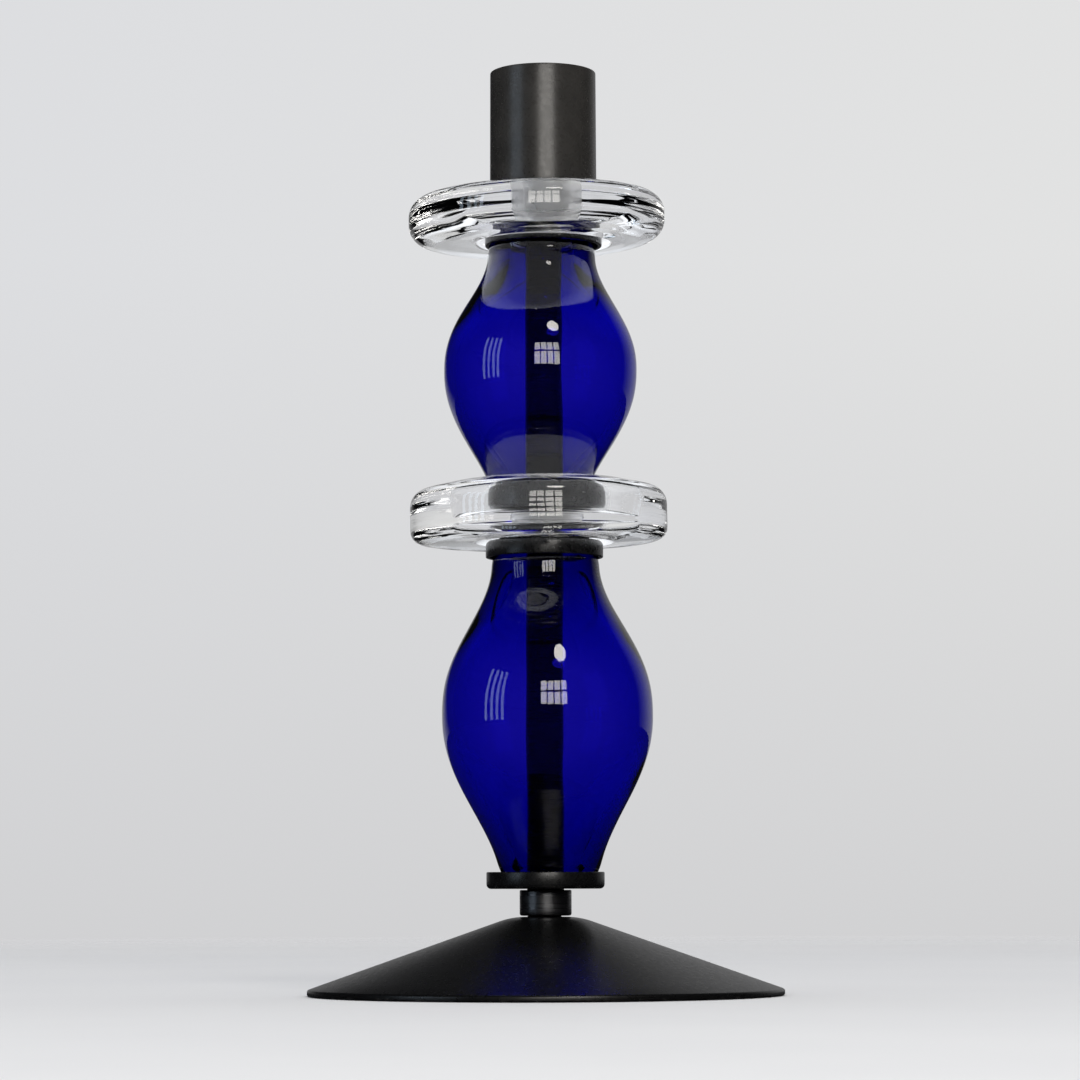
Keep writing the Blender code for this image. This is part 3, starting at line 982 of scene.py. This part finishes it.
def upper_disc_corners():
    bottom = heights_of("upper_glass_disc")[0]
    underside = bottom + 4.9
    seat = bottom + 11.6
    return [
        (DRILLED, seat, 0.4),
        (15.2, seat, 1.2),
        (20.0, seat + 1.7, 5.0),
        (DISC_RADIUS, seat + 0.6, 5.0),
        (DISC_RADIUS, bottom + 1.6, 5.0),
        (27.0, bottom, 6.0),
        (17.8, bottom, 0.8),
        (16.9, underside, 1.0),
        (DRILLED, underside, 0.4),
    ]


make_disc("cast_lower_disc", "lower_disc", "lower_glass_disc", lower_disc_corners(), 1.3, -0.9, -1.5)
make_disc("cast_upper_disc", "upper_disc", "upper_glass_disc", upper_disc_corners(), 1.6, -1.4, -1.8)

# %% [markdown]
# ## The candle cup
# The cup is turned from black steel tube with a thick floor, drilled and tapped for the rod. Its
# wall narrows very slightly towards the top, its foot flares over the last three millimetres, and
# both edges of its rim are rounded.

# %% Turn the candle cup
CUP_TOP = 14.05
CUP_FOOT = 14.3
CUP_BORE = 11.5
CUP_FLOOR = 7.5


def make_cup():
    bottom, top = heights_of("candle_cup")
    corners = [
        (CUP_BORE, top, 0.4),
        (CUP_TOP, top, 0.35),
        (CUP_FOOT - 0.15, bottom + 3.2, 3.0),
        (CUP_FOOT, bottom + 1.6, 2.0),
        (CUP_FOOT, bottom, 0.45),
        (ROD_HOLE, bottom, 0.3),
        (ROD_HOLE, bottom + CUP_FLOOR, 0.6),
        (CUP_BORE, bottom + CUP_FLOOR, 1.2),
    ]
    cup = turn(draw_outline("turned_candle_cup", split(rounded(corners, 5), 2.5)), 128)
    # The rim's edges and the foot's edge turn lighter grey: partly wear, partly a painted highlight.
    edges = [(CUP_TOP, top), (CUP_BORE, top), (CUP_FOOT, bottom)]
    shades = ((0.02, 0.0188, 0.0172), (0.027, 0.0252, 0.023))
    enamel = satin_enamel("satin_black_candle_cup", *shades, edges, (0.25, 0.33))
    return place_piece(cup, "cup", "candle_cup", "satin_black_paint", enamel)


make_cup()

# %% [markdown]
# ## Floor and room
# The candlestick stands on a plain pale floor that fades out into the room, so no hard horizon
# cuts behind the glass. The room is pale all round, dark overhead in front, and brightest high up
# behind, where the light that fills the clear discs comes from.

# %% Lay the floor
FLOOR_RADIUS = 1.7
FLOOR_FADES_FROM = 0.45
FLOOR_FADES_TO = 1.2
FLOOR_DROP = 0.0002


def pale_floor():
    finish, shader = new_finish("pale_floor")
    dusty = noise_in(finish, 8, 3)
    tone = mix_colours(finish, dusty, (0.74, 0.74, 0.75), (0.79, 0.79, 0.79))
    join_up(finish, tone, shader.inputs["Base Color"])
    shader.inputs["Roughness"].default_value = 0.7
    where = place_in(finish)
    reach = add_node(finish, "ShaderNodeVectorMath", {"operation": "LENGTH"})
    join_up(finish, where, reach.inputs[0])
    seen = spread(finish, reach.outputs["Value"], FLOOR_FADES_FROM, FLOOR_FADES_TO, 1, 0)
    join_up(finish, seen, shader.inputs["Alpha"])
    return finish


def make_floor():
    bpy.ops.object.select_all(action="DESELECT")
    bpy.ops.mesh.primitive_circle_add(
        vertices=96, radius=FLOOR_RADIUS, fill_type="NGON", location=(0, 0, -FLOOR_DROP)
    )
    floor = bpy.context.object
    floor.name = "studio_floor"
    bpy.ops.object.transform_apply(location=True, rotation=True, scale=True)
    floor.data.materials.append(pale_floor())


make_floor()

# %% [markdown]
# The room is a world shader that reads only the direction looked in. It is a little duller near
# the floor, which is what the floor itself fades into.

# %% Paint the room
ROOM_LEFT = (0.7, 0.71, 0.74)
ROOM_RIGHT = (0.78, 0.78, 0.77)
ROOM_LOW = (0.62, 0.62, 0.63)
ROOM_ABOVE = (0.5, 0.5, 0.51)
ROOM_ABOVE_BEHIND = (1.25, 1.28, 1.33)


def make_room():
    room = bpy.data.worlds.new("pale_room")
    room.use_nodes = True
    bpy.context.scene.world = room
    looking = add_node(room, "ShaderNodeTexCoord").outputs["Generated"]
    parts = add_node(room, "ShaderNodeSeparateXYZ", inputs={"Vector": looking})
    sideways = spread(room, parts.outputs["X"], -0.3, 0.3, 0, 1)
    middle = mix_colours(room, sideways, ROOM_LEFT, ROOM_RIGHT)
    raised = spread(room, parts.outputs["Z"], -0.05, 0.16, 0, 1)
    level = mix_colours(room, raised, ROOM_LOW, middle)
    behind = spread(room, parts.outputs["Y"], -0.1, 0.3, 0, 1)
    above = mix_colours(room, behind, ROOM_ABOVE, ROOM_ABOVE_BEHIND)
    overhead = spread(room, parts.outputs["Z"], 0.25, 0.6, 0, 1)
    tone = mix_colours(room, overhead, level, above)
    join_up(room, tone, room.node_tree.nodes["Background"].inputs["Color"])
    room.node_tree.nodes["Background"].inputs["Strength"].default_value = 1.0
    bpy.context.scene.view_settings.view_transform = "Standard"


make_room()
print("room:", bpy.context.scene.world.name)

# %% [markdown]
# ## Windows and lamp
# Three lights draw the highlights: a tall window in four panes well to the left, a smaller window
# in eight panes behind the viewer to the right, and a round lamp above it. A fourth, a big soft
# box on the right, lifts the shaded side and is hidden from mirrors, so it draws no highlight of
# its own. Each one is an area light aimed at the candlestick. A direction is given in degrees
# round from the front, positive to the right, and a height above the floor, in metres.

# %% Set the lights
AIM = Vector((0, 0, 0.12))
DAYLIGHT = (0.7, 0.84, 1.0)
SUNLIT = (1.0, 0.97, 0.92)


def lamp_at(name, shape, turned, distance, height, size, glow, colour):
    """An area light of a given brightness per area, aimed at the middle of the candlestick."""
    azimuth = math.radians(turned)
    place = Vector((distance * math.sin(azimuth), -distance * math.cos(azimuth), height))
    aim = Vector((AIM.x, AIM.y, height if shape == "RECTANGLE" else AIM.z)) - place
    facing = aim.to_track_quat("-Z", "Y").to_euler()
    bpy.ops.object.select_all(action="DESELECT")
    bpy.ops.object.light_add(type="AREA", location=place, rotation=facing)
    lamp = bpy.context.object
    lamp.name = name
    lamp.data.shape = shape
    lamp.data.size = size[0]
    lamp.data.size_y = size[1]
    area = size[0] * size[1] * (math.pi / 4 if shape == "DISK" else 1)
    lamp.data.energy = glow * math.pi * area
    lamp.data.color = colour
    lamp.visible_camera = False
    return lamp


def set_lights():
    for index, turned in enumerate((-50.5, -56.5, -63.0, -70.0)):
        lamp_at(f"left_pane_{index + 1}", "RECTANGLE", turned, 2.0, 0.5, (0.11, 1.6), 2.6, DAYLIGHT)
    for column, turned in enumerate((-4.0, 3.5, 11.0, 18.5)):
        for row, height in enumerate((0.5, 0.95)):
            name = f"front_pane_{column + 1}_{row + 1}"
            lamp_at(name, "RECTANGLE", turned, 2.2, height, (0.24, 0.38), 8.0, SUNLIT)
    lamp_at("ceiling_lamp", "DISK", 19.0, 0.95, 1.15, (0.3, 0.3), 14.0, (1.0, 0.96, 0.9))
    fill = lamp_at("right_softbox", "RECTANGLE", 62.0, 2.4, 0.9, (1.2, 1.4), 1.6, (1.0, 0.98, 0.95))
    fill.visible_glossy = False


set_lights()

# %% [markdown]
# A dark tent stands all round, beyond the windows, and a dark mat lies over the floor. Only
# mirrored light can see them, so the black enamel and the cobalt glass reflect deep shade while
# the room itself stays pale behind and through the glass. A dim patch low at the back of the tent
# gives the flanks of the foot their soft grey shine and leaves a dark wedge between them.

# %% Pitch the dark tent
TENT_RADIUS = 2.8
MAT_RADIUS = 1.6
BACK_GLOW = (0.36, 0.36, 0.365)


def dark_cloth():
    """Nearly black cloth that glows dimly where it hangs low behind the candlestick."""
    finish, shader = new_finish("dark_cloth")
    folds = noise_in(finish, 2, 3)
    tone = mix_colours(finish, folds, (0.006, 0.006, 0.008), (0.016, 0.016, 0.018))
    across = 1 / TENT_RADIUS
    parts = add_node(finish, "ShaderNodeSeparateXYZ", inputs={"Vector": place_in(finish, (across,) * 3)})
    aslant = sum_up(finish, "MULTIPLY", parts.outputs["X"], 0.8)
    low = spread(finish, sum_up(finish, "SUBTRACT", parts.outputs["Z"], aslant), 0.36, 0.56, 1, 0)
    behind = spread(finish, parts.outputs["Y"], 0.45, 0.8, 0, 1)
    shown = mix_colours(finish, sum_up(finish, "MULTIPLY", low, behind), tone, BACK_GLOW)
    glow = add_node(finish, "ShaderNodeEmission", inputs={"Color": shown, "Strength": 1.0})
    join_up(finish, glow.outputs["Emission"], finish.node_tree.nodes["Material Output"].inputs["Surface"])
    finish.node_tree.nodes.remove(shader)
    return finish


def only_in_mirrors(cloth, finish):
    cloth.data.materials.append(finish)
    cloth.visible_camera = False
    cloth.visible_diffuse = False
    cloth.visible_transmission = False
    cloth.visible_shadow = False


def pitch_tent():
    finish = dark_cloth()
    bpy.ops.object.select_all(action="DESELECT")
    bpy.ops.mesh.primitive_uv_sphere_add(segments=96, ring_count=48, radius=TENT_RADIUS)
    tent = bpy.context.object
    tent.name = "dark_tent"
    only_in_mirrors(tent, finish)
    bpy.ops.object.select_all(action="DESELECT")
    bpy.ops.mesh.primitive_circle_add(vertices=96, radius=MAT_RADIUS, fill_type="NGON")
    mat = bpy.context.object
    mat.name = "dark_mat"
    bpy.ops.object.transform_apply(location=True, rotation=True, scale=True)
    only_in_mirrors(mat, finish)


pitch_tent()
print("tent and mat radius in m:", TENT_RADIUS, MAT_RADIUS)

# %% [markdown]
# ## The camera
# The candlestick is seen from about a metre away with a long lens, from a little above the floor
# and looking slightly up, with a trace of roll.

# %% Set the camera
EYE = (-0.00116, -1.018, 0.0286)
LOOKING_UP = 5.094
ROLL = -0.0033


def set_camera():
    bpy.ops.object.select_all(action="DESELECT")
    bpy.ops.object.camera_add(location=EYE)
    camera = bpy.context.object
    camera.name = "viewing_camera"
    pitch = Matrix.Rotation(math.radians(90 + LOOKING_UP), 3, "X")
    roll = Matrix.Rotation(ROLL, 3, "Z")
    camera.rotation_euler = (pitch @ roll).to_euler()
    camera.data.lens = 129.0
    camera.data.sensor_width = 36.0
    camera.data.clip_start = 0.01
    camera.data.dof.use_dof = False
    bpy.context.scene.camera = camera


set_camera()
print("camera:", bpy.context.scene.camera.name)
